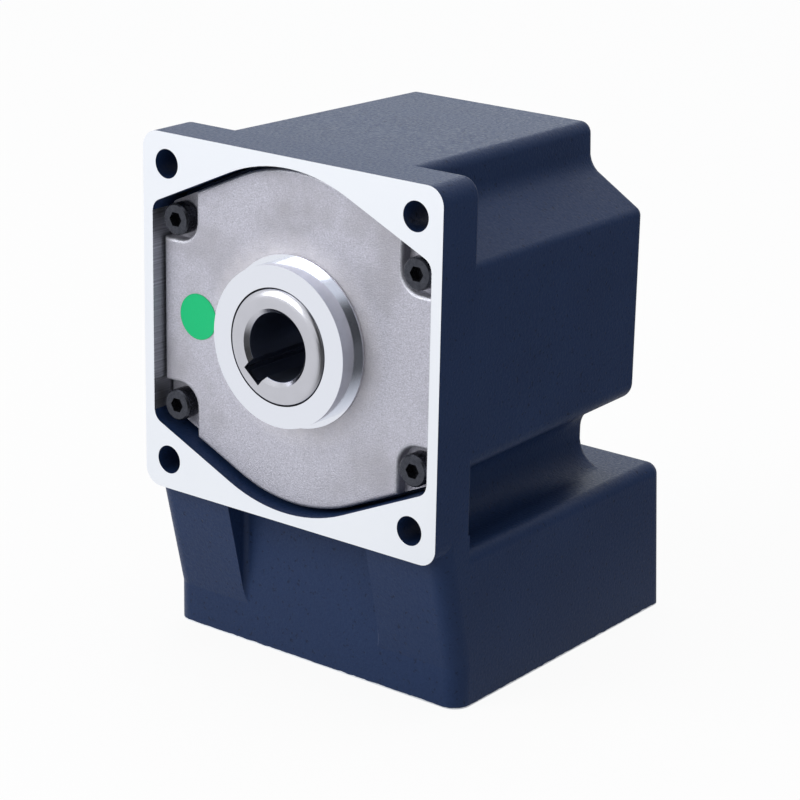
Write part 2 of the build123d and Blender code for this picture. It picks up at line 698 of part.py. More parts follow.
def output_shaft():
    shaft_r = SHAFT / 2
    bore_r = SHAFT_BORE / 2
    crown = EllipticalCenterArc(
        (shaft_r - SHAFT_END_ROUND, SHAFT_FRONT + SHAFT_END_DEPTH),
        SHAFT_END_ROUND,
        SHAFT_END_DEPTH,
        start_angle=-90,
        arc_size=90,
    )
    rest = Polyline(
        crown @ 1,
        (shaft_r, BEARING_END),
        (COLLAR / 2, BEARING_END),
        (COLLAR / 2, WHEEL_BACK),
        (WHEEL_SEAT / 2, WHEEL_BACK),
        (WHEEL_SEAT / 2, HUB_END - 0.5),
        (shaft_r, HUB_END - 0.5),
        (shaft_r, SHAFT_REAR),
        (bore_r, SHAFT_REAR),
        (bore_r, SHAFT_FRONT),
        crown @ 0,
    )
    body = revolve(make_face(crown + rest), Axis.Y)
    for end in (0, -1):
        rim = body.faces().sort_by(Axis.Y)[end].edges().sort_by(SortBy.RADIUS)
        body = chamfer(rim[0], BORE_CHAMFER)
    body = chamfer(body.faces().sort_by(Axis.Y)[-1].edges().sort_by(SortBy.RADIUS)[-1], REAR_CHAMFER)
    length = SHAFT_REAR - SHAFT_FRONT
    slot = Box(KEYWAY_REACH, length, KEYWAY_WIDTH, align=(Align.MIN, Align.MIN, Align.CENTER))
    slot = Rot(0, -KEYWAY_ANGLE, 0) * Pos(0, SHAFT_FRONT, 0) * slot
    return body - slot - wheel_key_bar(SEAT_GAP)


def bevel_wheel():
    back = PINION_Y - WHEEL_BACK
    bore_r = WHEEL_SEAT / 2 + SEAT_GAP
    rim = WHEEL.rim(BEVEL_FOOT, BEVEL_HEEL)
    blank = turn_z(
        (bore_r, HUB_FRONT),
        (rim[0][0], HUB_FRONT),
        *rim,
        (rim[-1][0] - 2, back),
        (bore_r, back),
    )
    wheel = blank - WHEEL.gaps(-90)
    wheel = Pos(0, PINION_Y, 0) * Rot(90, 0, 0) * wheel
    return wheel - wheel_key_bar(SEAT_GAP)


def wheel_spacer():
    inner = SHAFT / 2 + SEAT_GAP
    return turn_y(*ring(inner + SPACER_WALL, inner, HUB_END, REAR_BEARING_Y, SPACER_WALL / 5))


# Pinion shaft group

def final_key_bar(gap):
    bar = shaft_key(FINAL_KEY, PINION_JOURNAL / 2, SECOND_LOW + KEY_INSET, SECOND_TOP - KEY_INSET, gap)
    return Pos(0, PINION_Y, 0) * bar


def clip_ring(shaft_r, top):
    """Retaining ring in its groove, open on the +Y side, with its top at a height."""
    groove_r = shaft_r - 0.4
    clip = turn_z(*ring(shaft_r + 1.8, groove_r + SEAT_GAP, top - CLIP_THICK, top))
    gap = Box(shaft_r, 2 * shaft_r, 2 * CLIP_THICK, align=(Align.CENTER, Align.MIN, Align.CENTER))
    return clip - Pos(0, 0, top) * gap


def clip_groove(shaft_r, top):
    return turn_z(*ring(shaft_r + 1, shaft_r - 0.4, top - CLIP_THICK - RUN_GAP, top))


def pinion_shaft():
    rim = PINION.rim(BEVEL_FOOT, BEVEL_HEEL)
    heel = -rim[-1][1] - 1
    blank = turn_z(
        (0, -rim[0][1]),
        *[(r, -s) for r, s in rim],
        (rim[-1][0] - 1, heel),
        (PINION_NECK / 2, heel),
        (PINION_NECK / 2, UPPER_BEARING_TOP),
        (PINION_JOURNAL / 2, UPPER_BEARING_TOP),
        (PINION_JOURNAL / 2, PLATE_TOP),
        (PINION_END / 2, PLATE_TOP),
        (PINION_END / 2, PLATE_TOP - PINION_LOWER[2]),
        (PINION_END / 2 - 0.6, PLATE_TOP - PINION_LOWER[2] - 0.6),
        (0, PLATE_TOP - PINION_LOWER[2] - 0.6),
    )
    half_pitch = 180 / PINION_TEETH
    shaft = blank - [Rot(180, 0, 0) * gap for gap in PINION.gaps(90 + half_pitch)]
    shaft -= clip_groove(PINION_JOURNAL / 2, PINION_CLIP_TOP)
    return Pos(0, PINION_Y, 0) * shaft - final_key_bar(SEAT_GAP)


def final_gear():
    gear = spur_gear(SECOND_TEETH, SECOND_MODULE, -TOOTH_SHIFT, SECOND_LOW, SECOND_WIDTH, COUNTER_FACING)
    hub_r = PINION_JOURNAL / 2 + 1.8
    gear += rod_z(hub_r, SECOND_TOP, UPPER_BEARING_LOW)
    web_r = SECOND_MODULE * (SECOND_TEETH / 2 - 3.5)
    for low, high in ((SECOND_LOW, SECOND_LOW + 1.5), (SECOND_TOP - 1.5, SECOND_TOP)):
        gear -= turn_z(*ring(web_r, hub_r + 1.2, low, high))
    gear -= rod_z(PINION_JOURNAL / 2 + SEAT_GAP, SECOND_LOW, UPPER_BEARING_LOW)
    return Pos(0, PINION_Y, 0) * gear - final_key_bar(SEAT_GAP)


def pinion_circlip():
    return Pos(0, PINION_Y, 0) * clip_ring(PINION_JOURNAL / 2, PINION_CLIP_TOP)


# Countershaft group

def first_key_bar(gap):
    bar = shaft_key(FIRST_KEY, COUNTER_SEAT / 2, FIRST_LOW + KEY_INSET / 2, FIRST_TOP - KEY_INSET / 2, gap)
    return Pos(COUNTER_X, COUNTER_Y, 0) * bar


def countershaft():
    root_r = SECOND_MODULE * (SECOND_PINION_TEETH / 2 - 1.25 + TOOTH_SHIFT)
    shoulder_r = COUNTER_TOP / 2 + 1
    blank = turn_z(
        (0, GEAR_ROOM_TOP + COUNTER_UPPER[2]),
        (COUNTER_TOP / 2, GEAR_ROOM_TOP + COUNTER_UPPER[2]),
        (COUNTER_TOP / 2, GEAR_ROOM_TOP),
        (shoulder_r, GEAR_ROOM_TOP),
        (root_r, SECOND_TOP),
        (root_r, SECOND_LOW),
        (shoulder_r + 1, PLATE_TOP),
        (COUNTER_JOURNAL / 2, PLATE_TOP),
        (COUNTER_JOURNAL / 2, COUNTER_LOWER_LOW),
        (COUNTER_SEAT / 2, COUNTER_LOWER_LOW),
        (COUNTER_SEAT / 2, FIRST_LOW - 1.6 * CLIP_THICK),
        (0, FIRST_LOW - 1.6 * CLIP_THICK),
    )
    facing = COUNTER_FACING + 180 + 180 / SECOND_PINION_TEETH
    teeth = spur_gear(SECOND_PINION_TEETH, SECOND_MODULE, TOOTH_SHIFT, SECOND_LOW, SECOND_WIDTH, facing)
    shaft = blank + teeth - clip_groove(COUNTER_SEAT / 2, FIRST_CLIP_TOP)
    return Pos(COUNTER_X, COUNTER_Y, 0) * shaft - first_key_bar(SEAT_GAP)


def counter_gear():
    gear = spur_gear(FIRST_TEETH, FIRST_MODULE, 0.0, FIRST_LOW, FIRST_WIDTH, 0)
    web_r = FIRST_MODULE * (FIRST_TEETH / 2 - 3.5)
    hub_r = COUNTER_SEAT / 2 + 3
    for low, high in ((FIRST_LOW, FIRST_LOW + 1.5), (FIRST_TOP - 1.5, FIRST_TOP)):
        gear -= turn_z(*ring(web_r, hub_r, low, high))
    gear -= rod_z(COUNTER_SEAT / 2 + SEAT_GAP, FIRST_LOW, FIRST_TOP)
    return Pos(COUNTER_X, COUNTER_Y, 0) * gear - first_key_bar(SEAT_GAP)


def counter_spacer():
    sleeve = turn_z(*ring(COUNTER_SEAT / 2 + 1.2, COUNTER_SEAT / 2 + SEAT_GAP, FIRST_TOP, COUNTER_LOWER_LOW))
    return Pos(COUNTER_X, COUNTER_Y, 0) * sleeve


def counter_circlip():
    return Pos(COUNTER_X, COUNTER_Y, 0) * clip_ring(COUNTER_SEAT / 2, FIRST_CLIP_TOP)


# Bearing plate group

def bearing_plate():
    low = PLATE_TOP - PLATE_THICK
    plate = Pos(0, MOTOR_Y, 0) * turn_z(*ring(PLATE_ROOM_R - RUN_GAP, 0, low, PLATE_TOP, 0.5))
    plate -= rod_z(PINION_LOWER[1] / 2 + SEAT_GAP, PLATE_TOP - PINION_LOWER[2], PLATE_TOP, 0, PINION_Y)
    plate -= rod_z(PINION_LOWER[1] / 2 - 2, low, PLATE_TOP, 0, PINION_Y)
    plate -= rod_z(COUNTER_LOWER[1] / 2 + SEAT_GAP, COUNTER_LOWER_LOW, PLATE_TOP, COUNTER_X, COUNTER_Y)
    plate -= rod_z(COUNTER_LOWER[1] / 2 - 1.6, low, PLATE_TOP, COUNTER_X, COUNTER_Y)
    for x, y in plate_places():
        plate -= rod_z(PLATE_SCREW / 2 + 0.2, low, PLATE_TOP, x, y)
        plate -= rod_z(PLATE_SCREW_HEAD / 2 + 0.15, low, PLATE_SCREW_SEAT, x, y)
    for x in (-PLATE_SCREW_R, PLATE_SCREW_R):
        plate -= rod_z(DOWEL / 2 + SEAT_GAP, low, PLATE_TOP, x, MOTOR_Y)
    return plate


def plate_screws():
    screw = cap_screw(PLATE_SCREW, PLATE_SCREW_HEAD, PLATE_SCREW_HEX, PLATE_SCREW_LENGTH)
    screw = Rot(180, 0, 0) * screw
    return [Pos(x, y, PLATE_SCREW_SEAT - PLATE_SCREW) * screw for x, y in plate_places()]


def plate_dowels():
    low = PLATE_TOP - PLATE_THICK + 1
    high = PLATE_TOP + 2 * DOWEL_DEPTH - RUN_GAP
    pin = turn_z(*ring(DOWEL / 2, 0, low, high, DOWEL * 0.1))
    return [Pos(x, MOTOR_Y, 0) * pin for x in (-PLATE_SCREW_R, PLATE_SCREW_R)]


def named(prefix, endings, solids):
    return {f"{prefix}_{ending}": solid for ending, solid in zip(endings, solids)}


def assembly():
    """Every node's name with its solid, or its list of solids."""
    parts = {
        "gear_case": gear_case(),
        "front_cover": front_cover(),
        "cover_gasket": cover_gasket(),
        "cover_screws": cover_screws(),
        "cover_dowels": cover_dowels(),
        "check_sticker": check_sticker(),
        "output_shaft": output_shaft(),
        "bevel_wheel": bevel_wheel(),
        "wheel_key": wheel_key_bar(0),
        "wheel_spacer": wheel_spacer(),
        "pinion_shaft": pinion_shaft(),
        "final_gear": final_gear(),
        "final_gear_key": final_key_bar(0),
        "pinion_circlip": pinion_circlip(),
        "countershaft": countershaft(),
        "counter_gear": counter_gear(),
        "counter_gear_key": first_key_bar(0),
        "counter_spacer": counter_spacer(),
        "counter_circlip": counter_circlip(),
        "bearing_plate": bearing_plate(),
        "plate_screws": plate_screws(),
        "plate_dowels": plate_dowels(),
    }
    open_parts = ("outer", "inner", "cage", "balls")
    parts |= named("front_bearing", open_parts, onto_y(ball_bearing(SHAFT, *FRONT_BEARING), FRONT_BEARING_Y))
    parts |= named("rear_bearing", open_parts, onto_y(ball_bearing(SHAFT, *REAR_BEARING), REAR_BEARING_Y))
    seal_parts = ("case", "lip", "spring")
    parts |= named("front_seal", seal_parts, onto_y(oil_seal(*FRONT_SEAL), FRONT_SEAL_Y))
    rear_end = REAR_SEAL_Y + REAR_SEAL[1]
    parts |= named("rear_seal", seal_parts, onto_y(oil_seal(*REAR_SEAL), rear_end, reverse=True))
    shut_parts = ("outer", "inner", "shields")
    small = (
        ("pinion_upper_bearing", PINION_UPPER, 0, PINION_Y, UPPER_BEARING_LOW),
        ("pinion_lower_bearing", PINION_LOWER, 0, PINION_Y, PLATE_TOP - PINION_LOWER[2]),
        ("counter_upper_bearing", COUNTER_UPPER, COUNTER_X, COUNTER_Y, GEAR_ROOM_TOP),
        ("counter_lower_bearing", COUNTER_LOWER, COUNTER_X, COUNTER_Y, COUNTER_LOWER_LOW),
    )
    for prefix, sizes, x, y, low in small:
        parts |= named(prefix, shut_parts, onto_z(shielded_bearing(*sizes), x, y, low))
    return parts


def main():
    os.makedirs("parts", exist_ok=True)
    for name, solid in assembly().items():
        shape = Compound(children=solid) if isinstance(solid, list) else solid
        shape.label = name
        export_step(shape, f"parts/{name}.step")


main()
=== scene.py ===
import bpy
import math
from mathutils import Matrix, Vector


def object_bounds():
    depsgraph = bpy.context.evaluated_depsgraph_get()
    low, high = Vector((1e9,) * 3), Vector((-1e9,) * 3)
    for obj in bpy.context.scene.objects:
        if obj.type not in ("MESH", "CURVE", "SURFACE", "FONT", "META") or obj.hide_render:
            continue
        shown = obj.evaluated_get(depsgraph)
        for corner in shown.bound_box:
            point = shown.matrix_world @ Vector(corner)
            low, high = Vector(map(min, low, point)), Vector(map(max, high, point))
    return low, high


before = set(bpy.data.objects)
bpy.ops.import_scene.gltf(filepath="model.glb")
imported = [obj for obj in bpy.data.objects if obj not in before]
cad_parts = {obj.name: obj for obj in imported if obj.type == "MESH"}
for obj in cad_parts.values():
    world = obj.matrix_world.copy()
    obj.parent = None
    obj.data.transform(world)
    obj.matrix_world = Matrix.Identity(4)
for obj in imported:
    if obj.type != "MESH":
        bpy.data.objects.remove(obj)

solid_box = [list(corner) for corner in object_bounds()]
bpy.context.scene.view_settings.view_transform = "Standard"


# The camera stands where the photograph was taken from: to the right of the flange and a little above
# it, with a long lens. Its turn, height and tilt were fitted to the corners of the flange and the base.
TURN = math.radians(37.397)
RISE = math.radians(18.385)
TILT = math.radians(1.170)
AIM = Vector((0.030217, 0.0, -0.005572))
REACH = 0.53488
LENS = 118.889

back = Vector((math.sin(TURN) * math.cos(RISE), -math.cos(TURN) * math.cos(RISE), math.sin(RISE)))
level = Vector((math.cos(TURN), math.sin(TURN), 0.0))
above = back.cross(level)
right = level * math.cos(TILT) + above * math.sin(TILT)
up = above * math.cos(TILT) - level * math.sin(TILT)
lens = bpy.data.cameras.new("camera")
lens.lens = LENS
lens.sensor_width = 36.0
lens.sensor_fit = "HORIZONTAL"
lens.clip_start = 0.01
camera = bpy.data.objects.new("camera", lens)
camera.matrix_world = Matrix.Translation(AIM + back * REACH) @ Matrix((right, up, back)).transposed().to_4x4()
bpy.context.scene.collection.objects.link(camera)
bpy.context.scene.camera = camera


# A photographer's table: a wide pale floor, a big soft lamp in front on the left, and weaker ones overhead,
# behind and on the right. The room is white, and a dark curtain on the right shows in the bright metal.
# The floor is one-sided, so that the motor face can be looked at from below.
MIDDLE = Vector((0.0, 0.04, 0.0))
CURTAIN = 0.93
ROOM_LIGHT = 0.42
PAPER_GLOW = 0.93
TABLE_HALF = 4.0
FLOOR_GAP = 0.00003


class Wire:
    """An output of one of a finish's nodes. Sums and comparisons on it add the nodes that work them out."""

    def __init__(self, finish, socket):
        self.finish = finish
        self.socket = socket

    def math(self, operation, *terms):
        return self.finish.add("Math", {"operation": operation}, dict(enumerate(terms)))

    def __add__(self, other):
        return self.math("ADD", self, other)

    def __sub__(self, other):
        return self.math("SUBTRACT", self, other)

    def __rsub__(self, other):
        return self.math("SUBTRACT", other, self)

    def __mul__(self, other):
        return self.math("MULTIPLY", self, other)

    def __truediv__(self, other):
        return self.math("DIVIDE", self, other)

    def __pow__(self, other):
        return self.math("POWER", self, other)

    def __lt__(self, other):
        return self.math("LESS_THAN", self, other)

    def __gt__(self, other):
        return self.math("GREATER_THAN", self, other)

    def __and__(self, other):
        return self.math("MINIMUM", self, other)

    def __or__(self, other):
        return self.math("MAXIMUM", self, other)

    def __abs__(self):
        return self.math("ABSOLUTE", self)

    def sine(self):
        return self.math("SINE", self)

    __radd__ = __add__
    __rmul__ = __mul__


class Finish:
    """A material, or the world, and what builds its nodes."""

    def __init__(self, owner):
        owner.use_nodes = True
        self.owner = owner
        self.tree = owner.node_tree
        self.tree.nodes.clear()

    def add(self, kind, settings=None, sockets=None, out=0):
        """A node of one type: its settings first, then its sockets' values or links. Gives one output."""
        node = self.tree.nodes.new("ShaderNode" + kind)
        for name, value in (settings or {}).items():
            setattr(node, name, value)
        for key, value in (sockets or {}).items():
            if isinstance(value, Wire):
                self.tree.links.new(value.socket, node.inputs[key])
            else:
                node.inputs[key].default_value = value
        return Wire(self, node.outputs[out]) if node.outputs else None

    def span(self, value, start, end, **settings):
        """How far a value has come on its way from start to end, from 0 to 1."""
        return self.add("MapRange", settings, {"Value": value, "From Min": start, "From Max": end})

    def white_share(self, across, start, end):
        """How much of the ray is the eye's or a reflection's, and how bright the room is to it."""
        eye = self.add("LightPath", out="Is Camera Ray")
        rays = eye.socket.node.outputs
        shine = Wire(self, rays["Is Glossy Ray"]) | Wire(self, rays["Is Transmission Ray"])
        curtain = self.span(across, start, end, interpolation_type="SMOOTHSTEP")
        return eye | shine, 1 - curtain * shine * CURTAIN


def panel(name, place, size, watts, tint=(1.0, 1.0, 1.0)):
    """A square lamp that faces the part."""
    lamp = bpy.data.lights.new(name, "AREA")
    lamp.color = tint
    lamp.shape = "SQUARE"
    lamp.size = size
    lamp.energy = watts
    piece = bpy.data.objects.new(name, lamp)
    piece.location = place
    piece.rotation_euler = (MIDDLE - Vector(place)).to_track_quat("-Z", "Y").to_euler()
    bpy.context.scene.collection.objects.link(piece)


panel("front_lamp", (-0.65, -1.05, 0.65), size=0.9, watts=11.0)
panel("back_lamp", (-0.70, 1.00, 0.50), size=0.6, watts=1.4, tint=(0.80, 0.90, 1.0))
panel("top_lamp", (0.0, 0.25, 1.2), size=0.8, watts=5.0)
panel("right_lamp", (1.10, 0.10, 0.55), size=0.9, watts=1.0)

studio = Finish(bpy.context.scene.world or bpy.data.worlds.new("studio"))
bpy.context.scene.world = studio.owner
ward = studio.add("SeparateXYZ", None, {0: studio.add("TexCoord", out="Generated")}, "X")
seen, white = studio.white_share(ward, 0.20, 0.50)
room = (ROOM_LIGHT + seen * (1 - ROOM_LIGHT)) * white
surroundings = studio.add("Background", None, {"Color": (1.0, 1.0, 1.0, 1.0), "Strength": room})
studio.add("OutputWorld", None, {"Surface": surroundings})

table_mesh = bpy.data.meshes.new("floor")
floor_z = solid_box[0][2] - FLOOR_GAP
rim = [(x * TABLE_HALF, y * TABLE_HALF, floor_z) for x, y in ((-1, -1), (1, -1), (1, 1), (-1, 1))]
table_mesh.from_pydata(rim, [], [(0, 1, 2, 3)])
table = bpy.data.objects.new("floor", table_mesh)
bpy.context.scene.collection.objects.link(table)
paper = Finish(bpy.data.materials.new("paper"))
ward = paper.add("SeparateXYZ", None, {0: paper.add("TexCoord", out="Object")}, "X")
seen, white = paper.white_share(ward, -0.02, 0.10)
matt = paper.add("BsdfDiffuse", None, {"Color": (0.82, 0.82, 0.83, 1.0)})
glow = paper.add("Emission", None, {"Color": (1.0, 1.0, 1.0, 1.0), "Strength": white})
upper = paper.add("MixShader", None, {0: seen * PAPER_GLOW, 1: matt, 2: glow})
under = paper.add("NewGeometry", out="Backfacing") * paper.add("LightPath", out="Is Camera Ray")
sheet = paper.add("MixShader", None, {0: under, 1: upper, 2: paper.add("BsdfTransparent")})
paper.add("OutputMaterial", None, {"Surface": sheet})
table_mesh.materials.append(paper.owner)


# The gear case is one aluminium casting, sprayed navy after casting, so its skin is finely pebbled.
# The flange face, the pocket's side walls, the motor face and the bores are machined bright afterwards.
# Places are millimetres from the part's origin, depths of relief are hundredths of a millimetre.
MM = 1000.0
MICRON = 0.000001
NAVY = (0.013, 0.031, 0.092, 1.0)
NAVY_DEEP = (0.010, 0.023, 0.070, 1.0)
NAVY_PALE = (0.022, 0.046, 0.115, 1.0)
PORE = (0.004, 0.009, 0.026, 1.0)
BRIGHT = (0.82, 0.85, 0.90, 1.0)
BRIGHT_DULL = (0.80, 0.83, 0.89, 1.0)
WALL_CHATTER_SHADE = (0.36, 0.37, 0.41, 1.0)
CORED_GREY = (0.42, 0.43, 0.46, 1.0)
CORED_DARK = (0.33, 0.34, 0.37, 1.0)
MOTOR_Y = 49.5
PINION_Y = 43.0
FACE_Y = 0.03
FOOT_Z = 75.45
WALL_NEAR, WALL_FAR, WALL_DEEP, WALL_HALF = 37.3, 37.5, 10.1, 22.5
ROOM_R, ROOM_FRONT, ROOM_BACK = 33.05, 9.95, 59.5
SHAFT_BORE_R, SHAFT_BORE_Y = 18.6, 59.0
PILOT_NEAR, PILOT_FAR, BASE_Z = 36.4, 36.6, -60.0
GEAR_ROOM_Z = -45.9
NECK_R, NECK_TOP, NECK_FOOT = 14.0, -20.0, -47.0
SCREW_OUT, SCREW_HOLE_R, THREAD_PITCH = 33.234, 2.6, 1.0
CUTTER_OUT = 150.0
PEBBLE, PEBBLE_DEPTH = 1.5, 9.0
PORE_DEPTH, CORED_DEPTH, MILL_DEPTH, CHATTER_DEPTH, THREAD_DEPTH = 2.0, 5.0, 0.25, 9.0, 60.0


class Skin(Finish):
    """The finish of one of the part's own materials, with the place on the piece in millimetres."""

    def __init__(self, name):
        super().__init__(bpy.data.materials.new(name))
        place = self.add("TexCoord", out="Object")
        self.point = self.add("VectorMath", {"operation": "SCALE"}, {0: place, "Scale": MM})
        axes = self.add("SeparateXYZ", None, {0: self.point}).socket.node.outputs
        self.x, self.y, self.z = (Wire(self, axis) for axis in axes)

    def noise(self, scale, detail=2.0, stretch=None, roughness=0.5):
        where = self.point
        if stretch:
            where = self.add("VectorMath", {"operation": "MULTIPLY"}, {0: where, 1: stretch})
        sockets = {"Vector": where, "Scale": scale, "Detail": detail, "Roughness": roughness}
        return self.add("TexNoise", None, sockets)

    def streaks(self, along, scale, detail=3.0):
        """Uneven lines across one length, such as a cutter leaves."""
        settings = {"noise_dimensions": "1D"}
        return self.add("TexNoise", settings, {"W": along, "Scale": scale, "Detail": detail})

    def reach(self, first, second):
        """The distance from an axis, out of the two lengths across it."""
        return (first * first + second * second) ** 0.5

    def blend(self, amount, first, second):
        """A colour between two. A Mix node of colours takes them at 6 and 7, and gives its own at 2."""
        return self.add("Mix", {"data_type": "RGBA"}, {0: amount, 6: first, 7: second}, 2)

    def mix(self, amount, first, second):
        return first * (1 - amount) + second * amount

    def relief(self, height, microns):
        return self.add("Bump", None, {"Height": height, "Distance": microns * MICRON, "Strength": 1.0})

    def surface(self, **sockets):
        sockets = {name.replace("_", " "): value for name, value in sockets.items()}
        shader = self.add("BsdfPrincipled", None, sockets)
        self.add("OutputMaterial", None, {"Surface": shader})

    def dress(self, *nodes):
        for node in nodes:
            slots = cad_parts[node].data.materials
            slots.clear()
            slots.append(self.owner)


case = Skin("case_paint")
bore_reach = case.reach(case.x, case.z)
motor_reach = case.reach(case.x, case.y - MOTOR_Y)
pinion_reach = case.reach(case.x, case.y - PINION_Y)
screw_reach = case.reach(abs(case.x) - SCREW_OUT, abs(case.y - MOTOR_Y) - SCREW_OUT)
face = case.y < FACE_Y
foot = case.z < case.noise(0.5, 3.0) * 0.5 - FOOT_Z
walls = (abs(case.x) > WALL_NEAR) & (abs(case.x) < WALL_FAR) & (case.y < WALL_DEEP)
walls = walls & (abs(case.z) < WALL_HALF)
bevel_room = (bore_reach < ROOM_R) & (case.y > ROOM_FRONT) & (case.y < ROOM_BACK)
shaft_bores = (bore_reach < SHAFT_BORE_R) & (case.y > SHAFT_BORE_Y)
gear_room = (motor_reach < PILOT_FAR) & (case.z < GEAR_ROOM_Z)
neck = (pinion_reach < NECK_R) & (case.z < NECK_TOP) & (case.z > NECK_FOOT)
pilot = (motor_reach > PILOT_NEAR) & (motor_reach < PILOT_FAR) & (case.z < BASE_Z)
tapped = (screw_reach < SCREW_HOLE_R) & (case.z < BASE_Z)
inside = bevel_room | gear_room | neck
bright = face | foot | walls | shaft_bores | pilot | tapped
bare = bright | inside

pebbles = case.noise(PEBBLE, 3.0, None, 0.6)
specks = case.noise(3.2, 2.0, None, 0.6)
pores = case.span(case.noise(1.1, 1.0), 0.66, 0.74)
paint = case.blend(case.noise(0.05, 3.0), NAVY, NAVY_DEEP)
paint = case.blend((specks - 0.35) * 1.1, paint, NAVY_PALE)
paint = case.blend(pores * 0.6, paint, PORE)

mill = case.streaks(case.reach(case.x + CUTTER_OUT, case.z), 3.0, 2.0)
chatter = case.streaks(case.z, 2.4, 1.0)
thread = (case.z * (2 * math.pi / THREAD_PITCH)).sine()
machined = case.blend(case.noise(0.12, 4.0), BRIGHT, BRIGHT_DULL)
# The pocket's side walls are darkened along the chatter streaks, and throughout by a steady painted shade of
# the narrow pocket.
machined = case.blend(walls * (0.25 + chatter * 0.9), machined, WALL_CHATTER_SHADE)
cored = case.blend(case.noise(2.2, 4.0), CORED_GREY, CORED_DARK)
metal = case.blend(bright, cored, machined)

pebbled = pebbles * PEBBLE_DEPTH - pores * PORE_DEPTH
sandy = case.noise(1.2, 3.0) * CORED_DEPTH
cut = mill * (face | foot) * MILL_DEPTH + chatter * walls * CHATTER_DEPTH + thread * tapped * THREAD_DEPTH
grain = pebbled * (1 - bare) + sandy * (inside * (1 - bright)) + cut * bare
case.surface(
    Base_Color=case.blend(bare, paint, metal),
    Metallic=bare * 0.95,
    Roughness=case.mix(bare, 0.46 + (pebbles - 0.5) * 0.5, 0.36 + inside * 0.12 + walls * 0.06),
    Specular_IOR_Level=0.16,
    Normal=case.relief(grain, 10),
)
case.dress("gear_case")


# The front cover is a sand-textured aluminium casting, left bare. Its ring is turned to a fit and
# shines, and so does the narrow step around the ring. Its outer edge is paler all round, partly rubbed metal
# and partly a painted highlight.
CAST = (0.65, 0.65, 0.735, 1.0)
CAST_DARK = (0.34, 0.34, 0.395, 1.0)
CAST_DULL = (0.44, 0.43, 0.465, 1.0)
CAST_WARM = (0.74, 0.72, 0.75, 1.0)
TURNED = (0.76, 0.785, 0.855, 1.0)
TURNED_R, TURNED_Y = 18.72, 2.6
RING_R, DUST_R = 18.7, 24.0
RUBBED_HIGHLIGHT_FRONT, RUBBED_HIGHLIGHT_BACK = 3.02, 3.75

cover = Skin("cover_cast")
reach = cover.reach(cover.x, cover.z)
turned = (reach < TURNED_R) & (cover.y < TURNED_Y)
# The band along the outer edge is paler and smoother: partly rubbed bare metal, partly a painted highlight of
# the edge.
rubbed_and_highlight = (cover.y < RUBBED_HIGHLIGHT_BACK) & (cover.y > RUBBED_HIGHLIGHT_FRONT)
sand = cover.span(cover.noise(2.6, 4.0, (1.0, 1.0, 1.13), 0.8), 0.30, 0.70)
clouds = cover.span(cover.noise(0.055, 4.0, None, 0.55), 0.30, 0.52)
cast = cover.blend(sand, CAST_DARK, CAST)
cast = cover.blend(clouds, cover.blend(sand, CAST_DARK, CAST_DULL), cast)
dust = cover.noise(0.35, 4.0) * (reach < DUST_R) * (1 - (reach - RING_R) / (DUST_R - RING_R))
cast = cover.blend(dust * 0.9, cast, CAST_WARM)
rings = cover.streaks(reach + cover.y * 0.7, 3.0, 3.0)
cover.surface(
    Base_Color=cover.blend(turned | rubbed_and_highlight * sand * 0.7, cast, TURNED),
    Metallic=cover.mix(turned, 0.72, 1.0),
    Roughness=cover.mix(turned, 0.46 + sand * 0.16 - rubbed_and_highlight * 0.14, 0.11 + rings * 0.08),
    Normal=cover.relief(cover.mix(turned, sand * 5.0, rings * 0.4), 10),
)
cover.dress("front_cover")


# The gasket between the cover and the case is a dark fibre sheet, cut to the cover's outline and
# pressed thin, so that only its edge shows.
FIBRE = (0.055, 0.06, 0.066, 1.0)
FIBRE_PALE = (0.12, 0.125, 0.13, 1.0)

gasket = Skin("gasket")
fibres = gasket.noise(3.0, 4.0, (1.0, 6.0, 2.5))
gasket.surface(
    Base_Color=gasket.blend(fibres, FIBRE, FIBRE_PALE),
    Roughness=0.78 + fibres * 0.15,
    Normal=gasket.relief(fibres, 20),
)
gasket.dress("cover_gasket")


# Four socket head screws hold the cover, and four more the bearing plate. They are black oxide steel,
# a little paler in patches where the wrench and the die have rubbed it.
OXIDE = (0.022, 0.025, 0.034, 1.0)
OXIDE_RUBBED = (0.072, 0.076, 0.094, 1.0)

screw = Skin("black_screw")
mottle = screw.noise(1.1, 4.0)
screw.surface(
    Base_Color=screw.blend(mottle, OXIDE, OXIDE_RUBBED),
    Metallic=0.85,
    Roughness=0.17 + mottle * 0.2,
    Normal=screw.relief(screw.noise(2.4, 2.0), 6),
)
screw.dress("cover_screws", "plate_screws")


# Dowel pins fix the cover and the bearing plate. They are hardened steel, ground all round to a fine
# silver sheen.
GROUND = (0.58, 0.58, 0.59, 1.0)
GROUND_PALE = (0.72, 0.72, 0.73, 1.0)

pin = Skin("bright_pin")
ground = pin.noise(6.0, 2.0, (1.0, 0.1, 1.0))
pin.surface(
    Base_Color=pin.blend(ground, GROUND, GROUND_PALE),
    Metallic=1.0,
    Roughness=0.18 + ground * 0.1,
    Normal=pin.relief(ground, 1),
)
pin.dress("cover_dowels", "plate_dowels")


# The inspection sticker is a round of green paper with a satin face and a darker cut edge. It bears
# nothing here. It is stuck to the cover, to the left of the ring.
GREEN = (0.001, 0.47, 0.165, 1.0)
GREEN_PALE = (0.004, 0.56, 0.21, 1.0)
GREEN_EDGE = (0.008, 0.38, 0.135, 1.0)
STICKER_X = -27.1
PRINT_R = 4.9

sticker = Skin("green_sticker")
fleck = sticker.noise(3.5, 5.0)
edge = sticker.reach(sticker.x - STICKER_X, sticker.z) > PRINT_R
sticker.surface(
    Base_Color=sticker.blend(edge * 0.5, sticker.blend(fleck, GREEN, GREEN_PALE), GREEN_EDGE),
    Roughness=0.42 + fleck * 0.12,
    Specular_IOR_Level=0.25,
    Normal=sticker.relief(fleck, 12),
)
sticker.dress("check_sticker")
